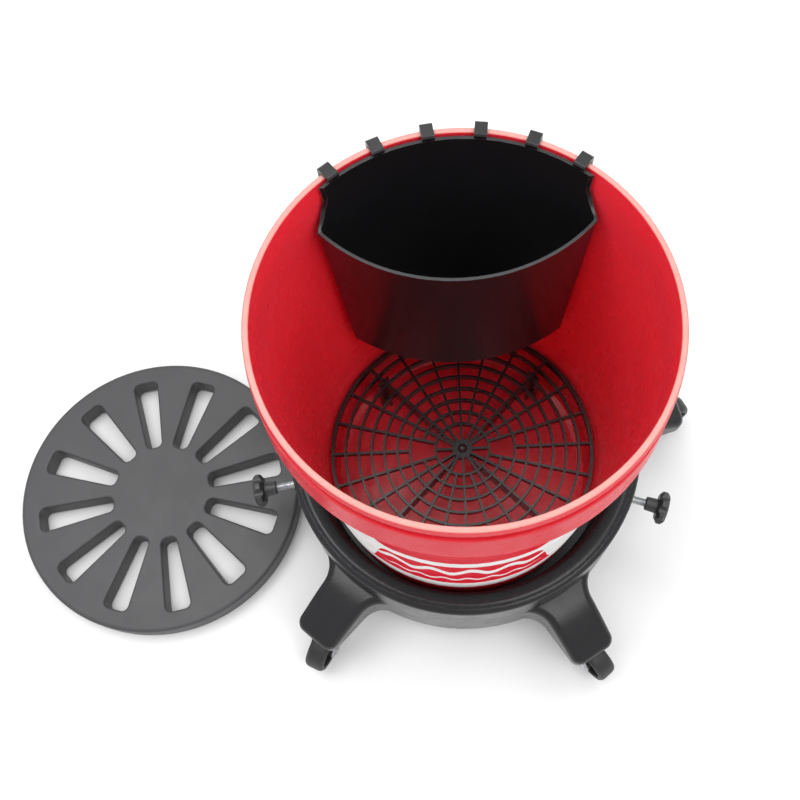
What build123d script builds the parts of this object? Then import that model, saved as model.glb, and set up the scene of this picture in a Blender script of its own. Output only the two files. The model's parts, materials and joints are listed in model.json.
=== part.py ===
from build123d import *
import os
from math import cos, hypot, radians, sin, sqrt

# Car wash bucket set: a round pail clamped in a dolly on five swivel casters, with a
# grit guard on the pail's floor, a hanging caddy on its rim, and a slotted lid that
# doubles as a seat and lies on the ground beside it.
# Millimetres, +Z up. The origin is the pail's axis where it meets the ground.

# ---- pail ----
PAIL_FLOOR_Z = 90.0
PAIL_RIM_Z = 458.0
PAIL_BASE_R = 131.0
PAIL_WALL = 2.5
PAIL_TOP_OUT_R = 146.3
PAIL_MOUTH_R = 146.5
PAIL_RIM_R = 151.0
COLLAR_LOW_R = 154.7
COLLAR_TOP_R = 152.8
COLLAR_LOW_Z = 400.0
COLLAR_HIGH_Z = 440.0
COLLAR_T = 2.2
LIP_R = 151.9
LIP_LOW_Z = 450.0
LIP_GROOVE_R = 149.4
PAIL_CORNER = 6.0

# ---- dolly ----
DOLLY_X = 3.0
DOLLY_Y = 14.0
RING_R = 174.5
RING_LOW_R = 175.4
RING_TOP_R = 174.2
RING_LOW_Z = 56.0
SHOULDER_Z = 148.0
RIDGE_R = 164.0
RIDGE_RISE = 6.2
GROOVE_R = 168.0
GROOVE_RISE = 4.4
POCKET_R = 146.5
POCKET_TOP_R = 151.5
POCKET_TOP_Z = 141.0
SHELL = 4.0
LEG_COUNT = 5
FIRST_LEG_AZ = -56.6
LEG_ROOT_Z = 104.0
LEG_END_R = 241.5
LEG_ROOT_HALF = 27.0
LEG_TIP_HALF = 23.5
LEG_ROOT_FILLET = 26.0
LEG_TIP_FILLET = 11.0
LEG_END_TOP_Z = 80.0
LEG_END_LOW_Z = 61.0
TOP_EDGE_FILLET = 8.0
RIB_HALF = 1.8
RIB_LOW_Z = 64.0
CENTRE_POST_R = 22.0
CENTRE_POST_LOW_Z = 66.0

# ---- casters ----
CASTER_R = 216.0
TRAIL = 23.0
WHEEL_R = 26.0
WHEEL_W = 20.0
STEM_R = 5.5
NECK_R = 4.0
AXLE_R = 3.0
RUN = 0.05
FORK_PLATE_LOW_Z = 54.0
FORK_PLATE = 2.0
CUP_TOP_Z = 59.0
BOSS_LOW_Z = 60.0
STEM_TOP_Z = 82.0
STEM_BOSS_R = 12.5
STEM_COLLAR_R = 9.0
FORK_FRONT = -12.0
FORK_BACK = 16.0
CUP_R = 13.0
CHEEK_GAP = 12.0
CHEEK = 1.6
TRAIL_AZ = [-49.0, 30.0, 110.0, 38.0, -114.0]

# ---- clamp screws ----
CLAMPS = {"right": -16.0, "rear": 52.0, "left": 192.0}
CLAMP_Z = 101.0
ROD_R = 3.969
ROD_LENGTH = 68.0
FOOT_R = 8.0
FOOT_T = 5.0
FOOT_GAP = 0.3
ROD_SOCKET = 3.5
INSERT_R = 5.8
INSERT_T = 12.0
BOSS_R = 9.0
BOSS_PROUD = 1.5
NECK_LENGTH = 12.0
KNOB_NECK_R = 7.0
KNOB_R = 17.0
KNOB_T = 10.0
KNOB_LOBES = 7
KNOB_NOTCH_R = 4.0

# ---- grit guard ----
GUARD_TOP_Z = 156.0
GUARD_R = 127.0
GUARD_TURN = 3.4
RING_COUNT = 9
FIRST_RING = 0.207
BAR_W = 2.2
BAR_H = 7.0
EDGE_BAR_W = 3.0
SPOKE_STEP = 15.0
GUARD_HUB_R = 9.7
VANE_COUNT = 4
VANE_R = 116.0
VANE_T = 2.4
VANE_DEPTH = 14.0
GUARD_FOOT_R = 108.0
GUARD_FOOT_HALF = 7.0

# ---- caddy ----
CADDY_TURN = 3.75
CADDY_TOP_Z = 457.0
CADDY_RIM_Z = 425.0
CADDY_LOW_Z = 242.0
CADDY_WALL = 2.4
CADDY_LOW_SIDE = (96.0, 84.5)
CADDY_RIM_SIDE = (104.5, 87.5)
CADDY_LOW_FRONT = 54.0
CADDY_RIM_FRONT = 42.0
CADDY_GAP = 2.6
CADDY_CORNER = 5.0
STEP_R = 20.0
STEP_Y = 104.5
STUD_R = 1.6
STUD_LENGTH = 4.6
STUD_X = 100.8
STUD_Y = 92.0
CLIP_COUNT = 6
CLIP_STEP = 15.34
CLIP_W = 9.6
CLIP_RISE = 3.4

# ---- lid ----
LID_X = -332.0
LID_Y = -13.6
LID_R = 152.0
LID_TOP_Z = 28.0
LID_SKIRT_LOW_Z = 4.0
LID_PLATE = 4.0
LID_SKIRT = 4.0
LID_EDGE = 4.0
LID_RING_R = 144.5
LID_RING_T = 3.5
LID_HUB_R = 24.0
LID_HUB_BORE_R = 20.5
LID_RIB_COUNT = 6
LID_RIB_HALF = 1.4
SLOT_COUNT = 12
SLOT_IN_R = 53.0
SLOT_OUT_R = 132.5
SLOT_IN_HALF = 8.0
SLOT_OUT_HALF = 13.5
SLOT_WALL = 3.0
SLOT_CORNER = 6.5
SLOT_LIP = 2.4

UP = (Align.CENTER, Align.CENTER, Align.MIN)


def post(radius, low, high, x=0.0, y=0.0):
    return Pos(x, y, low) * Cylinder(radius, high - low, align=UP)


def turned(points):
    """A ring or disc from its half section, given as radius and height."""
    return revolve(Plane.XZ * make_face(Polyline(*points, close=True)), Axis.Z)


def block(x, y, z):
    """A box from its low and high edges on each axis."""
    size = [high - low for low, high in (x, y, z)]
    return Pos(x[0], y[0], z[0]) * Box(*size, align=(Align.MIN,) * 3)


def around(azimuth, shape):
    return Rot(0, 0, azimuth) * shape


def radius_of(point):
    return hypot(point.X, point.Y)


def save(name, shape):
    export_step(shape, f"parts/{name}.step")


# ---------------------------------------------------------------- pail


def pail_outer_r(z):
    return PAIL_BASE_R + (PAIL_TOP_OUT_R - PAIL_BASE_R) * (z - PAIL_FLOOR_Z) / (COLLAR_LOW_Z - PAIL_FLOOR_Z)


def pail_inner_r(z):
    base = PAIL_BASE_R - PAIL_WALL
    return base + (PAIL_MOUTH_R - base) * (z - PAIL_FLOOR_Z) / (PAIL_RIM_Z - PAIL_FLOOR_Z)


def pail():
    """A tapered pail whose collar hangs clear of the wall, below a grooved lip."""
    floor_top = PAIL_FLOOR_Z + PAIL_WALL
    web_low = COLLAR_HIGH_Z - COLLAR_T
    outside = [
        (0, PAIL_FLOOR_Z),
        (PAIL_BASE_R - PAIL_CORNER, PAIL_FLOOR_Z),
        (PAIL_BASE_R - 1.6, PAIL_FLOOR_Z + 1.6),
        (pail_outer_r(PAIL_FLOOR_Z + PAIL_CORNER), PAIL_FLOOR_Z + PAIL_CORNER),
        (pail_outer_r(web_low), web_low),
        (COLLAR_TOP_R - COLLAR_T, web_low),
        (COLLAR_LOW_R - COLLAR_T, COLLAR_LOW_Z),
        (COLLAR_LOW_R - 0.4, COLLAR_LOW_Z),
        (COLLAR_LOW_R, COLLAR_LOW_Z + 1.0),
        (COLLAR_TOP_R, COLLAR_HIGH_Z - 1.0),
        (COLLAR_TOP_R - 0.8, COLLAR_HIGH_Z),
        (LIP_GROOVE_R, COLLAR_HIGH_Z),
        (LIP_GROOVE_R, LIP_LOW_Z),
        (LIP_R - 0.5, LIP_LOW_Z),
        (LIP_R, LIP_LOW_Z + 1.0),
        (PAIL_RIM_R, PAIL_RIM_Z - 1.0),
        (PAIL_RIM_R - 1.0, PAIL_RIM_Z),
    ]
    inside = [
        (PAIL_MOUTH_R + 0.6, PAIL_RIM_Z),
        (PAIL_MOUTH_R, PAIL_RIM_Z - 0.8),
        (pail_inner_r(floor_top + 8), floor_top + 8),
        (pail_inner_r(floor_top) - 2.2, floor_top + 2.2),
        (pail_inner_r(floor_top) - 8, floor_top),
        (0, floor_top),
    ]
    return turned(outside + inside)


# ---------------------------------------------------------------- dolly


def leg_azimuths():
    return [FIRST_LEG_AZ + 360.0 / LEG_COUNT * k for k in range(LEG_COUNT)]


def dolly_plan():
    """The dolly's outline from above: a ring with five tapered legs."""
    leg = make_face(
        Polyline(
            (RING_R - 30, -LEG_ROOT_HALF),
            (LEG_END_R, -LEG_TIP_HALF),
            (LEG_END_R, LEG_TIP_HALF),
            (RING_R - 30, LEG_ROOT_HALF),
            close=True,
        )
    )
    plan = Circle(RING_R) + [around(az, leg) for az in leg_azimuths()]
    tips = plan.vertices().filter_by(lambda v: radius_of(v) > LEG_END_R - 5)
    plan = fillet(tips, LEG_TIP_FILLET)
    roots = plan.vertices().filter_by(lambda v: abs(radius_of(v) - RING_R) < 3)
    return fillet(roots, LEG_ROOT_FILLET)


def arm_section(drop, low):
    """Half section below the legs' top surface lowered by drop, closed by the points in low."""
    hub = [(0, LEG_ROOT_Z - drop), (RING_R - 16, LEG_ROOT_Z - drop)]
    slope = [
        hub[-1],
        (RING_R + 1, LEG_ROOT_Z - 1 - drop),
        (RING_R + 17, LEG_ROOT_Z - 4 - drop),
        (LEG_END_R - 22, LEG_END_TOP_Z + 8 - drop),
        (LEG_END_R + 5, LEG_END_TOP_Z - 6 - drop),
    ]
    edges = [Polyline(*hub), Spline(*slope), Polyline(slope[-1], *low, hub[0])]
    return revolve(Plane.XZ * make_face(edges), Axis.Z)


def on_top_rim(edge):
    middle = edge.position_at(0.5)
    rise = abs(edge.position_at(0).Z - edge.position_at(1).Z)
    level = rise < 0.9 * edge.length
    return level and middle.Z > LEG_END_TOP_Z - 10 and radius_of(middle) > RING_R - 1


def arms():
    """The five legs, hollow below, cut off inside the ring's wall."""
    plan = dolly_plan()
    under = [
        (LEG_END_R + 5, LEG_END_LOW_Z),
        (LEG_END_R - 8, LEG_END_LOW_Z),
        (RING_R + 8, RING_LOW_Z),
        (0, RING_LOW_Z),
    ]
    body = extrude(plan, LEG_ROOT_Z + 10) & arm_section(0, under)
    body = fillet(body.edges().filter_by(on_top_rim), TOP_EDGE_FILLET)
    open_low = [(LEG_END_R + 5, 0), (0, 0)]
    shell = body - (extrude(offset(plan, -SHELL), LEG_ROOT_Z + 10) & arm_section(SHELL, open_low))
    inner_limit = arm_section(1.0, under)
    for azimuth in leg_azimuths():
        boss = post(STEM_BOSS_R, BOSS_LOW_Z, LEG_END_TOP_Z + 6, CASTER_R, 0)
        rib = block((RING_R - SHELL, CASTER_R - 8), (-RIB_HALF, RIB_HALF), (RIB_LOW_Z, LEG_ROOT_Z))
        shell = shell + (around(azimuth, boss + rib) & inner_limit)
    return shell - post(RING_R - 2, 0, LEG_ROOT_Z + 10)


def ring():
    """The pocket's floor and wall, the rolled ridge with its groove, and the outer wall."""
    ridge = Spline(
        (POCKET_TOP_R, POCKET_TOP_Z),
        (POCKET_TOP_R + 2.5, SHOULDER_Z - 1),
        (RIDGE_R - 5.5, SHOULDER_Z + 0.6 * RIDGE_RISE),
        (RIDGE_R, SHOULDER_Z + RIDGE_RISE),
        (GROOVE_R - 0.8, SHOULDER_Z + GROOVE_RISE + 1.0),
    )
    groove_floor = (GROOVE_R, SHOULDER_Z + GROOVE_RISE)
    groove = Polyline(ridge @ 1, groove_floor, (GROOVE_R + 0.9, SHOULDER_Z + GROOVE_RISE + 0.8))
    shoulder = Spline(
        groove @ 1,
        (RING_TOP_R - 2.8, SHOULDER_Z + GROOVE_RISE),
        (RING_TOP_R - 0.8, SHOULDER_Z + 0.6 * GROOVE_RISE),
        (RING_TOP_R, SHOULDER_Z),
    )
    wall = Polyline(
        shoulder @ 1,
        (RING_LOW_R, RING_LOW_Z),
        (RING_LOW_R - SHELL, RING_LOW_Z),
        (RING_TOP_R - SHELL, SHOULDER_Z),
        (RIDGE_R, SHOULDER_Z + RIDGE_RISE - SHELL),
        (RIDGE_R - 5.5, SHOULDER_Z - 1),
        (POCKET_TOP_R + SHELL, POCKET_TOP_Z - 2),
        (POCKET_R + SHELL, PAIL_FLOOR_Z - SHELL),
        (0, PAIL_FLOOR_Z - SHELL),
        (0, PAIL_FLOOR_Z),
        (POCKET_R, PAIL_FLOOR_Z),
        ridge @ 0,
    )
    return revolve(Plane.XZ * make_face([ridge, groove, shoulder, wall]), Axis.Z)


def dolly_frame():
    shell = ring() + arms()
    for azimuth in leg_azimuths():
        heights = (RIB_LOW_Z, PAIL_FLOOR_Z - 1)
        rib = block((CENTRE_POST_R - 4, RING_LOW_R - 2), (-RIB_HALF, RIB_HALF), heights)
        shell = shell + around(azimuth, rib)
    shell = shell + post(CENTRE_POST_R, CENTRE_POST_LOW_Z, PAIL_FLOOR_Z - 1)
    for azimuth in leg_azimuths():
        shell = shell - around(azimuth, post(STEM_R, 0, STEM_TOP_Z, CASTER_R, 0))
    insert_in = RING_R + BOSS_PROUD - INSERT_T
    for azimuth in CLAMPS.values():
        boss = post(BOSS_R, POCKET_R + 2.5, RING_R + BOSS_PROUD)
        shell = shell + from_centre(azimuth, boss)
        shell = shell - from_centre(azimuth, post(INSERT_R, insert_in, RING_R + 20))
        shell = shell - from_centre(azimuth, post(ROD_R + 0.5, POCKET_R - 8, RING_R))
    return Pos(DOLLY_X, DOLLY_Y, 0) * shell


def from_centre(azimuth, shape):
    """Lays a shape built up +Z along a clamp screw's axis, outward from the ring's centre."""
    return Pos(0, 0, CLAMP_Z) * around(azimuth, Rot(0, 90, 0) * shape)


def clamp_along(azimuth, shape):
    return Pos(DOLLY_X, DOLLY_Y, 0) * from_centre(azimuth, shape)


# ---------------------------------------------------------------- casters


def caster_place(index, shape):
    """Moves a caster piece, built at the swivel axis with its trail along +X, to its leg."""
    azimuth = radians(leg_azimuths()[index])
    x = DOLLY_X + CASTER_R * cos(azimuth)
    y = DOLLY_Y + CASTER_R * sin(azimuth)
    return Pos(x, y, 0) * around(TRAIL_AZ[index], shape)


def caster_stem():
    shank = post(STEM_R, BOSS_LOW_Z, STEM_TOP_Z)
    collar = post(STEM_COLLAR_R, CUP_TOP_Z + 0.1, BOSS_LOW_Z)
    neck = post(NECK_R, FORK_PLATE_LOW_Z - 0.1, CUP_TOP_Z + 0.1)
    top = FORK_PLATE_LOW_Z - 0.1
    head_r = NECK_R + 2
    edge = [(0, top - 2.1), (head_r - 1.5, top - 2.1), (head_r, top - 1.3), (head_r, top)]
    head = turned(edge + [(0, top)])
    return shank + collar + neck + head


def caster_fork():
    half = CHEEK_GAP + CHEEK
    plate_high = FORK_PLATE_LOW_Z + FORK_PLATE
    plate = block((FORK_FRONT, FORK_BACK), (-half, half), (FORK_PLATE_LOW_Z, plate_high))
    cup_side = [(CUP_R, plate_high), (CUP_R, CUP_TOP_Z - 1.8)]
    cup = turned([(0, plate_high)] + cup_side + [(CUP_R - 2, CUP_TOP_Z), (0, CUP_TOP_Z)])
    outline = make_face(
        Polyline(
            (FORK_FRONT, plate_high),
            (FORK_BACK, plate_high),
            (TRAIL + 8.5, WHEEL_R + 3),
            (TRAIL + 7.0, WHEEL_R - 6.5),
            (TRAIL, WHEEL_R - 8.5),
            (TRAIL - 7.0, WHEEL_R - 5.5),
            (FORK_FRONT, FORK_PLATE_LOW_Z - 6),
            close=True,
        )
    )
    cheeks = extrude(Plane.XZ * outline, half, both=True)
    gap = block((-40, 60), (-CHEEK_GAP, CHEEK_GAP), (0, FORK_PLATE_LOW_Z))
    fork = plate + cup + (cheeks - gap)
    fork = fork - post(NECK_R + RUN, 40, 70)
    return fork - Pos(TRAIL, 0, WHEEL_R) * Rot(90, 0, 0) * Cylinder(AXLE_R, 60)


def caster_axle():
    half = CHEEK_GAP + CHEEK
    head = 1.4
    points = [
        (0, -half - head),
        (4.2, -half - head),
        (5.0, -half - head + 0.6),
        (5.0, -half),
        (AXLE_R, -half),
        (AXLE_R, half),
        (5.0, half),
        (5.0, half + head - 0.6),
        (4.2, half + head),
        (0, half + head),
    ]
    return Pos(TRAIL, 0, WHEEL_R) * Rot(90, 0, 0) * turned(points)


def caster_wheel():
    half = WHEEL_W / 2
    hub_half = CHEEK_GAP - 0.5
    web = 3.0
    side = [
        (AXLE_R + RUN, hub_half),
        (7.5, hub_half),
        (8.0, web),
        (WHEEL_R - 7, web),
        (WHEEL_R - 6, half - 0.8),
        (WHEEL_R - 5, half),
        (WHEEL_R - 2.5, half),
        (WHEEL_R - 0.6, half - 2.2),
        (WHEEL_R, half - 5),
    ]
    mirrored = [(r, -h) for r, h in reversed(side)]
    return Pos(TRAIL, 0, WHEEL_R) * Rot(90, 0, 0) * turned(side + mirrored)


# ---------------------------------------------------------------- clamp screws


def foot_face(azimuth):
    """Distance from the dolly's axis, along a screw, to the pad's face by the pail wall."""
    offset_along = DOLLY_X * cos(radians(azimuth)) + DOLLY_Y * sin(radians(azimuth))
    wall = pail_outer_r(CLAMP_Z + FOOT_R)
    reach = sqrt(offset_along**2 - DOLLY_X**2 - DOLLY_Y**2 + wall**2)
    return reach - offset_along + FOOT_GAP


def clamp_foot(azimuth):
    start = foot_face(azimuth)
    face = [(0, start), (FOOT_R - 1, start), (FOOT_R, start + 1)]
    back = [(FOOT_R, start + 2.5), (5.2, start + FOOT_T), (0, start + FOOT_T)]
    pad = turned(face + back)
    socket = post(ROD_R + RUN, start + FOOT_T - ROD_SOCKET, start + FOOT_T + 1)
    return clamp_along(azimuth, pad - socket)


def rod_start(azimuth):
    return foot_face(azimuth) + FOOT_T - ROD_SOCKET + RUN


def clamp_rod(azimuth):
    start = rod_start(azimuth)
    end = start + ROD_LENGTH
    tip = 0.8
    points = [(0, start), (ROD_R - tip, start), (ROD_R, start + tip), (ROD_R, end), (0, end)]
    return clamp_along(azimuth, turned(points))


def clamp_knob(azimuth):
    neck_start = rod_start(azimuth) + ROD_LENGTH - NECK_LENGTH + 2
    head_start = neck_start + NECK_LENGTH
    head_end = head_start + KNOB_T
    neck = turned(
        [
            (0, neck_start),
            (KNOB_NECK_R - 0.6, neck_start),
            (KNOB_NECK_R, neck_start + 0.8),
            (KNOB_NECK_R + 0.6, head_start),
            (0, head_start),
        ]
    )
    notch_at = KNOB_R + 1.2
    star = Circle(KNOB_R)
    for k in range(KNOB_LOBES):
        star = star - around(360.0 / KNOB_LOBES * k, Pos(notch_at, 0) * Circle(KNOB_NOTCH_R))
    star = fillet(star.vertices(), 1.6)
    dome = turned(
        [
            (0, head_start),
            (KNOB_R - 4, head_start),
            (KNOB_R, head_start + 3),
            (KNOB_R, head_end - 3),
            (KNOB_R - 3, head_end),
            (0, head_end + 0.8),
        ]
    )
    head = (Pos(0, 0, head_start) * extrude(star, KNOB_T + 2)) & dome
    rod_end = rod_start(azimuth) + ROD_LENGTH
    return clamp_along(azimuth, neck + head - post(ROD_R, neck_start - 5, rod_end))


def clamp_insert(azimuth):
    end = RING_R + BOSS_PROUD
    start = end - INSERT_T
    sleeve = post(INSERT_R, start, end) + post(INSERT_R + 1.2, end, end + 0.8)
    return clamp_along(azimuth, sleeve - post(ROD_R + RUN, start - 1, end + 2))


# ---------------------------------------------------------------- grit guard


def ring_radii():
    first = GUARD_R * FIRST_RING
    step = (GUARD_R - first) / (RING_COUNT - 1)
    return [first + step * k for k in range(RING_COUNT)]


def grit_guard():
    rings = ring_radii()
    low = GUARD_TOP_Z - BAR_H
    dome = [(0, 0), (4.6, 0), (4.0, 2.2), (2.0, 3.4), (0, 3.6)]
    grid = post(GUARD_HUB_R, low, GUARD_TOP_Z) + Pos(0, 0, GUARD_TOP_Z) * turned(dome)
    for index, radius in enumerate(rings):
        last = index == RING_COUNT - 1
        half = (EDGE_BAR_W if last else BAR_W) / 2
        ring_low = low - 2 if last else low
        bore = post(radius - half, ring_low - 1, GUARD_TOP_Z + 1)
        ring = post(radius + half, ring_low, GUARD_TOP_Z) - bore
        grid = grid + (ring - finger_windows() if index == 1 else ring)
    for k in range(round(360 / SPOKE_STEP)):
        azimuth = SPOKE_STEP * k
        start = rings[2] if azimuth in (0, 180) else rings[0]
        spoke = block((start - 0.3, rings[-1]), (-BAR_W / 2, BAR_W / 2), (low, GUARD_TOP_Z - 0.2))
        grid = grid + around(azimuth, spoke)
    for k in range(round(180 / SPOKE_STEP)):
        spoke = block((GUARD_HUB_R - 1, rings[0]), (-BAR_W / 2, BAR_W / 2), (low, GUARD_TOP_Z - 0.2))
        grid = grid + around(2 * SPOKE_STEP * k, spoke)
    for k in range(VANE_COUNT):
        vane = block((0, VANE_R), (-VANE_T / 2, VANE_T / 2), (low - VANE_DEPTH, low + 0.5))
        grid = grid + around(360.0 / VANE_COUNT * (k + 0.5), vane + guard_foot(low))
    return around(GUARD_TURN, grid)


def guard_foot(high):
    """A foot with a cross section like a plus, from the pail's floor up to the grating."""
    heights = (PAIL_FLOOR_Z + PAIL_WALL, high + 0.5)
    near, far = GUARD_FOOT_R - GUARD_FOOT_HALF, GUARD_FOOT_R + GUARD_FOOT_HALF
    half = VANE_T / 2
    along = block((near, far), (-half, half), heights)
    across = block((-half, half), (-GUARD_FOOT_HALF, GUARD_FOOT_HALF), heights)
    return along + Pos(GUARD_FOOT_R, 0, 0) * across


def finger_windows():
    """The two gaps in the second ring, each between the spokes on either side of the middle."""
    rings = ring_radii()
    reach = (rings[1] + rings[2]) / 2
    side = reach * sin(radians(SPOKE_STEP))
    wedge = make_face(Polyline((0, 0), (reach, -side), (reach, side), close=True))
    solid = Pos(0, 0, GUARD_TOP_Z - 20) * extrude(wedge, 40)
    return solid + around(180, solid)


# ---------------------------------------------------------------- caddy


def between(low, high, share):
    return low + (high - low) * share


def caddy_outline(z, inset):
    """The caddy's plan at one height: pail-side arc, two short sides and a bowed front."""
    share = (z - CADDY_LOW_Z) / (CADDY_RIM_Z - CADDY_LOW_Z)
    back_r = pail_inner_r(z) - CADDY_GAP - inset
    side_x = between(CADDY_LOW_SIDE[0], CADDY_RIM_SIDE[0], share) - inset
    side_y = between(CADDY_LOW_SIDE[1], CADDY_RIM_SIDE[1], share) + inset * 0.4
    front_y = between(CADDY_LOW_FRONT, CADDY_RIM_FRONT, share) + inset
    back_x = side_x - CADDY_CORNER - inset * 0.2
    back_y = sqrt(back_r**2 - back_x**2)
    edges = [
        ThreePointArc((back_x, back_y), (0, back_r), (-back_x, back_y)),
        Line((-back_x, back_y), (-side_x, side_y)),
        ThreePointArc((-side_x, side_y), (0, front_y), (side_x, side_y)),
        Line((side_x, side_y), (back_x, back_y)),
    ]
    face = make_face(edges)
    return Pos(0, 0, z) * fillet(face.vertices(), CADDY_CORNER - inset * 0.6)


def caddy_clip():
    """One hook over the pail's rim, drawn at the +Y side."""
    inner = pail_inner_r(CADDY_TOP_Z) - CADDY_GAP
    top = PAIL_RIM_Z + CLIP_RISE
    section = make_face(
        Polyline(
            (inner - CADDY_WALL, PAIL_RIM_Z - 14),
            (inner, PAIL_RIM_Z - 14),
            (inner, PAIL_RIM_Z),
            (LIP_R + 0.5, PAIL_RIM_Z),
            (LIP_R + 0.5, PAIL_RIM_Z - 10),
            (LIP_R + 1.6, PAIL_RIM_Z - 11),
            (LIP_R + 3.2, PAIL_RIM_Z - 9),
            (LIP_R + 3.2, top - 1.6),
            (LIP_R + 1.6, top),
            (inner - CADDY_WALL + 1.2, top),
            (inner - CADDY_WALL, top - 1.2),
            close=True,
        )
    )
    return around(90, extrude(Plane.XZ * section, CLIP_W / 2, both=True))


def caddy():
    heights = (CADDY_LOW_Z, CADDY_TOP_Z)
    outer = loft([caddy_outline(z, 0) for z in heights], ruled=True)
    outer = fillet(outer.faces().sort_by(Axis.Z)[0].edges(), CADDY_CORNER)
    inner = loft([caddy_outline(z, CADDY_WALL) for z in (CADDY_LOW_Z - 1, CADDY_TOP_Z + 1)], ruled=True)
    wide = (-PAIL_RIM_R, PAIL_RIM_R)
    inner = inner & block(wide, wide, (CADDY_LOW_Z + CADDY_WALL, CADDY_TOP_Z + 5))
    shell = outer - inner
    shell = shell - above_front_rim()
    for k in range(CLIP_COUNT):
        offset_steps = k - (CLIP_COUNT - 1) / 2
        shell = shell + around(CLIP_STEP * offset_steps, caddy_clip())
    for side in (-1, 1):
        stud = Rot(0, side * 90, 0) * Cylinder(STUD_R, STUD_LENGTH, align=UP)
        shell = shell + Pos(side * STUD_X, STUD_Y, CADDY_RIM_Z - 9) * stud
    return around(CADDY_TURN, shell)


def above_front_rim():
    """What is cut away above the front rim, which sweeps up to the panel on the pail's wall."""
    high = CADDY_TOP_Z + 5
    swept = STEP_R * sin(radians(45))
    outline = [
        Line((0, high), (0, CADDY_RIM_Z)),
        Line((0, CADDY_RIM_Z), (STEP_Y - STEP_R, CADDY_RIM_Z)),
        ThreePointArc(
            (STEP_Y - STEP_R, CADDY_RIM_Z),
            (STEP_Y - STEP_R + swept, CADDY_RIM_Z + STEP_R - swept),
            (STEP_Y, CADDY_RIM_Z + STEP_R),
        ),
        Line((STEP_Y, CADDY_RIM_Z + STEP_R), (STEP_Y, high)),
        Line((STEP_Y, high), (0, high)),
    ]
    return extrude(Plane.YZ * make_face(outline), PAIL_RIM_R, both=True)


# ---------------------------------------------------------------- lid


def slot_outline(grow=0.0):
    face = make_face(
        Polyline(
            (SLOT_IN_R, -SLOT_IN_HALF),
            (SLOT_OUT_R, -SLOT_OUT_HALF),
            (SLOT_OUT_R, SLOT_OUT_HALF),
            (SLOT_IN_R, SLOT_IN_HALF),
            close=True,
        )
    )
    rounded = fillet(face.vertices(), SLOT_CORNER)
    return offset(rounded, grow) if grow else rounded


def slot_azimuths():
    return [360.0 / SLOT_COUNT * (k + 0.5) for k in range(SLOT_COUNT)]


def lid():
    edge = LID_EDGE
    disc = turned(
        [
            (0, LID_SKIRT_LOW_Z),
            (LID_R, LID_SKIRT_LOW_Z),
            (LID_R, LID_TOP_Z - edge),
            (LID_R - 0.3, LID_TOP_Z - edge * 0.6),
            (LID_R - edge * 0.3, LID_TOP_Z - edge * 0.3),
            (LID_R - edge * 0.6, LID_TOP_Z - 0.3),
            (LID_R - edge, LID_TOP_Z),
            (0, LID_TOP_Z),
        ]
    )
    locating = post(LID_RING_R, 0, LID_TOP_Z - 1) - post(LID_RING_R - LID_RING_T, -1, LID_TOP_Z)
    hub_tube = post(LID_HUB_R, 0, LID_TOP_Z - 1) - post(LID_HUB_BORE_R, -1, LID_TOP_Z)
    pocket = Circle(LID_R - LID_SKIRT)
    for azimuth in slot_azimuths():
        pocket = pocket - around(azimuth, slot_outline(SLOT_WALL))
    body = disc - Pos(0, 0, -1) * extrude(pocket, LID_TOP_Z - LID_PLATE + 1)
    body = body + locating + hub_tube
    for k in range(LID_RIB_COUNT):
        rib = block((LID_HUB_R - 1, LID_RING_R - 2), (-LID_RIB_HALF, LID_RIB_HALF), (6, LID_TOP_Z - 1))
        body = body + around(360.0 / LID_RIB_COUNT * k, rib)
    for azimuth in slot_azimuths():
        body = body - Pos(0, 0, -2) * around(azimuth, extrude(slot_outline(), LID_TOP_Z + 10))
    lips = [e for e in body.edges() if on_slot_lip(e)]
    body = fillet(lips, SLOT_LIP)
    return Pos(LID_X, LID_Y, 0) * body


def on_slot_lip(edge):
    middle = edge.position_at(0.5)
    return abs(middle.Z - LID_TOP_Z) < 0.01 and SLOT_IN_R - 5 < radius_of(middle) < LID_R - 10


# ---------------------------------------------------------------- write


def main():
    os.makedirs("parts", exist_ok=True)
    save("dolly_frame", dolly_frame())
    for index in range(LEG_COUNT):
        number = index + 1
        save(f"caster_stem_{number}", caster_place(index, caster_stem()))
        save(f"caster_fork_{number}", caster_place(index, caster_fork()))
        save(f"caster_axle_{number}", caster_place(index, caster_axle()))
        save(f"caster_wheel_{number}", caster_place(index, caster_wheel()))
    for side, azimuth in CLAMPS.items():
        save(f"clamp_foot_{side}", clamp_foot(azimuth))
        save(f"clamp_rod_{side}", clamp_rod(azimuth))
        save(f"clamp_knob_{side}", clamp_knob(azimuth))
        save(f"clamp_insert_{side}", clamp_insert(azimuth))
    save("pail", pail())
    save("grit_guard", grit_guard())
    save("caddy", caddy())
    save("lid", lid())


main()
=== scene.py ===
import json
import math

import bpy
from mathutils import Matrix, Vector


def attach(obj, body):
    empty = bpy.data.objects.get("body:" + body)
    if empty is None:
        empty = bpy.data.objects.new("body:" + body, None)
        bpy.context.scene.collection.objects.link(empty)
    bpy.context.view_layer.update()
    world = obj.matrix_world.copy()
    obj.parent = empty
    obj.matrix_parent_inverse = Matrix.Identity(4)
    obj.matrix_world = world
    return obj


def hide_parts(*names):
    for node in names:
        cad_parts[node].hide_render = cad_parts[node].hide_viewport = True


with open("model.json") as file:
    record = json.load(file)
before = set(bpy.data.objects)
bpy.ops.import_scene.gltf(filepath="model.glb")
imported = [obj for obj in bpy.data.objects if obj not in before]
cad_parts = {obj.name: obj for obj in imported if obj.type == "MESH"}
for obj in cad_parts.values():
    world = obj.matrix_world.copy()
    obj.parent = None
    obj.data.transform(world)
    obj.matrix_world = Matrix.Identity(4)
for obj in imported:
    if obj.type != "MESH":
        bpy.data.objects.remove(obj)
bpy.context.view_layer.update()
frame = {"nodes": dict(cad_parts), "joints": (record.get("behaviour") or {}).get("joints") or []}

nodes = frame["nodes"]
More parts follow.
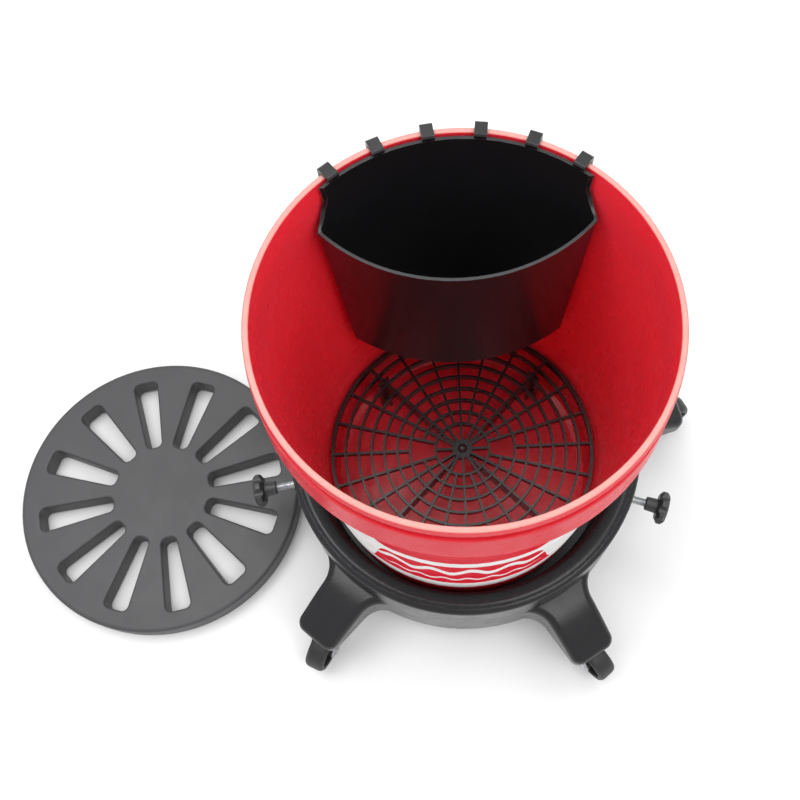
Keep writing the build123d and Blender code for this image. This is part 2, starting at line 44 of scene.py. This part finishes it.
scene = bpy.context.scene

# Camera, in metres and degrees
CAMERA_AT = (-0.00289, -0.27508, 1.02411)
CAMERA_ELEVATION = 69.48
CAMERA_ROLL = 0.66
CAMERA_LENS = 41.744
CAMERA_SHIFT = (-0.07505, 0.00078)

# The outside of the pail's tapered wall, in metres
WALL_LOW = 0.090
WALL_HIGH = 0.458
WALL_LOW_RADIUS = 0.131
WALL_HIGH_RADIUS = 0.1492
WALL_MARGIN = 0.0012
RIM_TOP = 0.4575

# The white print on it: heights in metres, reach in radians round from the front
PRINT_HIGH = 0.399
STRIPE_LOW = 0.148
STRIPE_HIGH = 0.178
SMILE_LOW = 0.284
SMILE_HIGH = 0.304
SMILE_LOW_REACH = (0.45, 0.66)
SMILE_HIGH_REACH = (0.42, 0.72)
WAVE_FADE = 0.2

# Each wave: middle, swing, half width, waves in a turn of 2 pi, reach
WAVES = [
    (0.252, 0.010, 0.009, 26.0, 0.66),
    (0.208, 0.005, 0.004, 40.0, 0.58),
]

# The clamp screws' thread
THREAD_RADIUS = 0.003969
THREAD_DEPTH = 0.0007
THREAD_PITCH = 0.001411
RINGS_PER_PITCH = 8
ROUND_STEPS = 28

# Lights: name, place, aim, width, height, power, colour
LIGHTS = [
    ("key", (-0.70, 0.10, 2.10), (0.0, 0.0, 0.3), 1.0, 1.0, 18.0, (1.0, 1.0, 1.0)),
    ("fill", (0.70, -0.60, 2.00), (0.0, 0.0, 0.3), 1.0, 1.0, 14.0, (1.0, 1.0, 1.0)),
    ("overhead", (0.35, 0.80, 2.20), (0.0, 0.0, 0.2), 1.8, 0.7, 12.0, (1.0, 1.0, 1.0)),
]
WORLD_LIGHT = 0.78


class Shader:
    """A new node material, with short ways to add nodes and to join them."""

    def __init__(self, name):
        self.material = bpy.data.materials.new(name)
        self.material.use_nodes = True
        self.tree = self.material.node_tree
        self.bsdf = self.tree.nodes["Principled BSDF"]
        self.place = self.add("ShaderNodeTexCoord").outputs["Object"]

    def add(self, kind, **settings):
        node = self.tree.nodes.new(kind)
        for key, value in settings.items():
            setattr(node, key, value)
        return node

    def put(self, socket, value):
        if isinstance(value, bpy.types.NodeSocket):
            self.tree.links.new(value, socket)
        else:
            socket.default_value = value

    def math(self, operation, a, b=0.0):
        node = self.add("ShaderNodeMath", operation=operation)
        for socket, value in zip(node.inputs, (a, b)):
            self.put(socket, value)
        return node.outputs[0]

    def noise(self, scale, detail=2.0):
        node = self.add("ShaderNodeTexNoise")
        self.put(node.inputs["Vector"], self.place)
        node.inputs["Scale"].default_value = scale
        node.inputs["Detail"].default_value = detail
        return node.outputs["Fac"]

    def ramp(self, value, low, high, start=0.0, end=1.0, kind="SMOOTHSTEP"):
        node = self.add("ShaderNodeMapRange", interpolation_type=kind)
        for socket, number in zip(node.inputs, (value, low, high, start, end)):
            self.put(socket, number)
        return node.outputs["Result"]

    def mix(self, share, a, b):
        node = self.add("ShaderNodeMix", data_type="RGBA")
        self.put(node.inputs["Factor"], share)
        self.put(node.inputs["A"], a)
        self.put(node.inputs["B"], b)
        return node.outputs["Result"]

    def axes(self):
        node = self.add("ShaderNodeSeparateXYZ")
        self.put(node.inputs[0], self.place)
        return node.outputs

    def edges(self, radius):
        """The normal rounded off near edges, and how far it is from the true normal."""
        bevel = self.add("ShaderNodeBevel", samples=4)
        bevel.inputs["Radius"].default_value = radius
        dot = self.add("ShaderNodeVectorMath", operation="DOT_PRODUCT")
        self.put(dot.inputs[0], bevel.outputs["Normal"])
        self.put(dot.inputs[1], self.add("ShaderNodeNewGeometry").outputs["Normal"])
        away = self.math("SUBTRACT", 1.0, dot.outputs["Value"])
        return bevel.outputs["Normal"], self.ramp(away, 0.01, 0.12)

    def bump(self, height, distance, normal=None):
        node = self.add("ShaderNodeBump")
        node.inputs["Distance"].default_value = distance
        self.put(node.inputs["Height"], height)
        if normal is not None:
            self.put(node.inputs["Normal"], normal)
        return node.outputs["Normal"]

    def finish(self, **inputs):
        for key, value in inputs.items():
            self.put(self.bsdf.inputs[key.replace("_", " ")], value)
        return self.material


def linear(red, green, blue):
    """A colour given as 0 to 255 sRGB, as Blender's linear RGBA."""
    def channel(value):
        value /= 255.0
        return value / 12.92 if value < 0.04045 else ((value + 0.055) / 1.055) ** 2.4
    return (channel(red), channel(green), channel(blue), 1.0)


def plastic(name, colour, worn, rough, grain=0.00006, grain_scale=900.0, edge=0.0008, wear=0.5,
            shine=0.5):
    """Moulded plastic: uneven colour and gloss, a fine grain, slow waviness and pale worn edges."""
    s = Shader(name)
    cloud = s.noise(14.0, 4.0)
    deep = tuple(0.88 * c for c in colour[:3]) + (1.0,)
    body = s.mix(s.ramp(cloud, 0.3, 0.7), deep, colour)
    rounded, corner = s.edges(edge)
    scuff = s.ramp(s.noise(160.0, 3.0), 0.35, 0.65, 0.3, 1.0)
    share = s.math("MULTIPLY", s.math("MULTIPLY", corner, scuff), wear)
    gloss = s.ramp(s.noise(55.0, 3.0), 0.3, 0.7, rough - 0.03, rough + 0.03)
    slow = s.bump(cloud, 0.0002, rounded)
    fine = s.bump(s.noise(grain_scale), grain, slow)
    return s.finish(Base_Color=s.mix(share, body, worn), Roughness=gloss, Normal=fine,
                    Specular_IOR_Level=shine)


def printed_bands(s):
    """Where the white print is: a stripe, a band that opens out round the back, and two waves.

    Then, where the surface is the pail's outside.
    """
    x, y, z = s.axes()
    turn = s.math("ARCTAN2", x, s.math("MULTIPLY", y, -1.0))
    side = s.math("ABSOLUTE", turn)
    radius = s.math("SQRT", s.math("ADD", s.math("MULTIPLY", x, x), s.math("MULTIPLY", y, y)))
    wall = s.ramp(z, WALL_LOW, WALL_HIGH, WALL_LOW_RADIUS, WALL_HIGH_RADIUS, "LINEAR")
    outside = s.math("GREATER_THAN", radius, s.math("SUBTRACT", wall, WALL_MARGIN))
    below_collar = s.math("LESS_THAN", z, PRINT_HIGH)

    def between(low, high):
        above = s.math("GREATER_THAN", z, low)
        under = s.math("LESS_THAN", z, high)
        return s.math("MULTIPLY", above, under)

    def wave(middle, swing, half, count, reach):
        crest = s.math("MULTIPLY", s.math("SINE", s.math("MULTIPLY", turn, count)), swing)
        line = s.math("ADD", crest, middle)
        width = s.ramp(side, reach - WAVE_FADE, reach, half, 0.0)
        return between(s.math("SUBTRACT", line, width), s.math("ADD", line, width))

    stripe = between(STRIPE_LOW, STRIPE_HIGH)
    smile_low = s.ramp(side, *SMILE_LOW_REACH, SMILE_LOW, STRIPE_HIGH)
    smile_high = s.ramp(side, *SMILE_HIGH_REACH, SMILE_HIGH, PRINT_HIGH)
    white = s.math("MAXIMUM", stripe, between(smile_low, smile_high))
    for shape in WAVES:
        white = s.math("MAXIMUM", white, wave(*shape))
    return s.math("MULTIPLY", white, s.math("MULTIPLY", outside, below_collar)), outside


def pail_red():
    """The pail's red, painted brighter inside than out as painted light, paler on the rim's top face
    from a painted highlight and duller there, with the white print.
    """
    s = Shader("pail_red_plastic")
    cloud = s.noise(9.0, 3.0)
    print_here, outside = printed_bands(s)
    # The inside gets a brighter red than the outside, though it is the same plastic: painted light,
    # standing in for the light on the inner walls.
    outer = s.mix(s.ramp(cloud, 0.3, 0.7), linear(210, 32, 48), linear(214, 34, 52))
    inner_painted_light_red = s.mix(s.ramp(cloud, 0.3, 0.7), linear(246, 52, 68), linear(250, 56, 72))
    red = s.mix(outside, inner_painted_light_red, outer)
    z = s.axes()[2]
    # The rim's top face is painted pale, varied a little by noise: a painted highlight standing in for
    # the lights' sheen on it. The same rim mask also makes it rougher.
    rim = s.math("MULTIPLY", s.ramp(z, RIM_TOP - 0.0004, RIM_TOP), 0.85)
    rim_painted_highlight = s.math("MULTIPLY", rim, s.ramp(s.noise(70.0, 3.0), 0.2, 0.8, 0.85, 1.0))
    red = s.mix(rim_painted_highlight, red, linear(196, 158, 148))
    colour = s.mix(print_here, red, linear(238, 236, 236))
    gloss = s.ramp(s.noise(40.0, 3.0), 0.3, 0.7, 0.24, 0.30)
    gloss = s.math("ADD", gloss, s.math("MULTIPLY", rim, 0.3))
    facing = s.add("ShaderNodeLayerWeight").outputs["Facing"]
    calm = s.math("MULTIPLY", outside, s.ramp(facing, 0.35, 0.75))
    loss = s.ramp(z, PRINT_HIGH, PRINT_HIGH + 0.001, 0.495, 0.47)
    shine = s.math("SUBTRACT", 0.5, s.math("MULTIPLY", calm, loss))
    rounded, _ = s.edges(0.0007)
    slow = s.bump(cloud, 0.0001, rounded)
    film = s.bump(print_here, 0.00008, slow)
    fine = s.bump(s.noise(700.0), 0.00003, film)
    return s.finish(Base_Color=colour, Roughness=gloss, Normal=fine, Subsurface_Weight=0.35,
                    Subsurface_Radius=(1.0, 0.12, 0.12), Subsurface_Scale=0.006,
                    Specular_IOR_Level=shine)


def metal(name, colour, rough):
    """Bare or plated metal: a fine grain, with duller patches."""
    s = Shader(name)
    grain = s.noise(600.0, 3.0)
    cloud = s.noise(60.0, 3.0)
    dull = tuple(0.6 * c for c in colour[:3]) + (1.0,)
    body = s.mix(s.ramp(cloud, 0.35, 0.75), colour, dull)
    gloss = s.ramp(cloud, 0.3, 0.7, rough - 0.06, rough + 0.1)
    rounded, _ = s.edges(0.0004)
    fine = s.bump(grain, 0.00003, rounded)
    return s.finish(Base_Color=body, Metallic=1.0, Roughness=gloss, Normal=fine)


def make_materials():
    """One material for each slot of the record, by the start of its nodes' names."""
    grey_edge = linear(120, 122, 126)
    return {
        "pail": pail_red(),
        "dolly_frame": plastic("dolly_black_plastic", linear(34, 34, 36), grey_edge, 0.26, edge=0.0012,
                               wear=0.3, shine=0.3),
        "caddy": plastic("caddy_black_plastic", linear(26, 26, 28), grey_edge, 0.24, edge=0.0006,
                         wear=0.7, shine=0.35),
        "grit_guard": plastic("guard_black_plastic", linear(26, 29, 30), grey_edge, 0.28, edge=0.0004),
        "lid": plastic("lid_grey_plastic", linear(66, 66, 68), linear(112, 112, 114), 0.5,
                       0.00012, 1400.0, 0.001, 0.25),
        "clamp_knob": plastic("knob_black_plastic", linear(48, 48, 50), grey_edge, 0.38, edge=0.001,
                              wear=0.4),
        "caster_wheel": plastic("wheel_black_rubber", linear(34, 34, 35), grey_edge, 0.5, 0.0001, 700.0,
                                0.001, 0.2),
        "clamp_foot": plastic("pad_black_rubber", linear(30, 30, 31), grey_edge, 0.6, 0.0001, 700.0,
                              0.0006, 0.1),
        "zinc": metal("zinc_plated_steel", linear(206, 208, 212), 0.28),
        "clamp_insert": metal("insert_brass", linear(208, 170, 96), 0.3),
    }


def paint(materials):
    """Gives each CAD node its material, by the longest name that its own name starts with."""
    zinc = ("caster_stem", "caster_fork", "caster_axle", "clamp_rod")
    for name, piece in nodes.items():
        key = "zinc" if name.startswith(zinc) else None
        for start in materials:
            if name.startswith(start):
                key = start
        for slot in piece.material_slots:
            slot.material = materials[key]


def thread_radius(along, length, turn):
    """The screw's radius at a height and a part of a turn, tapered at its two ends."""
    phase = (along / THREAD_PITCH - turn) % 1.0
    crest = min(1.0, max(0.0, 1.6 - 3.2 * abs(phase - 0.5)))
    taper = min(1.0, min(along, length - along) / THREAD_PITCH)
    return THREAD_RADIUS - THREAD_DEPTH * (1.0 - crest * taper)


def thread_mesh(name, length):
    """A screw of that length up +Z, whose thread is a real helix."""
    count = round(length / THREAD_PITCH * RINGS_PER_PITCH)
    points = []
    for ring in range(count + 1):
        along = length * ring / count
        for step in range(ROUND_STEPS):
            turn = step / ROUND_STEPS
            radius = thread_radius(along, length, turn)
            angle = 2.0 * math.pi * turn
            points.append((radius * math.cos(angle), radius * math.sin(angle), along))
    faces = [list(range(ROUND_STEPS))[::-1], [count * ROUND_STEPS + k for k in range(ROUND_STEPS)]]
    for ring in range(count):
        for step in range(ROUND_STEPS):
            here = ring * ROUND_STEPS + step
            beside = ring * ROUND_STEPS + (step + 1) % ROUND_STEPS
            faces.append((here, beside, beside + ROUND_STEPS, here + ROUND_STEPS))
    mesh = bpy.data.meshes.new(name)
    mesh.from_pydata(points, [], faces)
    mesh.polygons.foreach_set("use_smooth", [True] * len(faces))
    return mesh


def add_threads(material):
    """Puts a threaded rod in place of each plain rod of the frame, along its joint's axis."""
    for joint in frame["joints"]:
        if not joint["name"].startswith("clamp_turn_"):
            continue
        side = joint["name"].replace("clamp_turn_", "")
        rod = nodes[f"clamp_rod_{side}"]
        axis = Vector(joint["axis"])
        pivot = Vector(joint["pos_m"])
        reach = [(vertex.co - pivot).dot(axis) for vertex in rod.data.vertices]
        mesh = thread_mesh(f"clamp_thread_{side}", max(reach) - min(reach))
        mesh.materials.append(material)
        screw = bpy.data.objects.new(f"clamp_thread_{side}", mesh)
        turn = axis.to_track_quat("Z", "Y").to_matrix().to_4x4()
        screw.matrix_world = Matrix.Translation(pivot + min(reach) * axis) @ turn
        scene.collection.objects.link(screw)
        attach(screw, f"screw_{side}")
        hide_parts(rod.name)


def set_camera():
    elevation = math.radians(CAMERA_ELEVATION)
    roll = math.radians(CAMERA_ROLL)
    back = Vector((0.0, -math.cos(elevation), math.sin(elevation)))
    up = Vector((0.0, math.sin(elevation), math.cos(elevation)))
    right = Vector((1.0, 0.0, 0.0))
    tilted_right = math.cos(roll) * right + math.sin(roll) * up
    tilted_up = math.cos(roll) * up - math.sin(roll) * right
    camera = bpy.data.objects.new("camera", bpy.data.cameras.new("camera"))
    camera.data.lens = CAMERA_LENS
    camera.data.sensor_width = 36.0
    camera.data.shift_x, camera.data.shift_y = CAMERA_SHIFT
    camera.matrix_world = (Matrix.Translation(CAMERA_AT)
                           @ Matrix((tilted_right, tilted_up, back)).transposed().to_4x4())
    scene.collection.objects.link(camera)
    scene.camera = camera


def set_floor():
    """A pale floor, faintly mottled, that runs out of sight."""
    bpy.ops.mesh.primitive_plane_add(size=12.0, location=(0.0, 0.0, -0.0002))
    floor = bpy.context.object
    floor.name = "floor"
    s = Shader("floor_white")
    mottle = s.ramp(s.noise(5.0, 3.0), 0.3, 0.7)
    colour = s.mix(mottle, (0.86, 0.86, 0.865, 1.0), (0.88, 0.88, 0.88, 1.0))
    floor.data.materials.append(s.finish(Base_Color=colour, Roughness=0.6,
                                         Normal=s.bump(s.noise(300.0), 0.00005)))


def set_lights():
    for name, place, aim, width, height, power, colour in LIGHTS:
        light = bpy.data.lights.new(name, "AREA")
        light.shape = "RECTANGLE"
        light.size = width
        light.size_y = height
        light.energy = power
        light.color = colour
        lamp = bpy.data.objects.new(name, light)
        lamp.location = place
        lamp.rotation_euler = (Vector(aim) - Vector(place)).to_track_quat("-Z", "Y").to_euler()
        scene.collection.objects.link(lamp)
    world = bpy.data.worlds.new("studio")
    world.use_nodes = True
    background = world.node_tree.nodes["Background"]
    background.inputs["Color"].default_value = (1.0, 1.0, 1.0, 1.0)
    background.inputs["Strength"].default_value = WORLD_LIGHT
    scene.world = world


scene.view_settings.view_transform = "Standard"
set_camera()
set_floor()
set_lights()
materials = make_materials()
paint(materials)
add_threads(materials["zinc"])
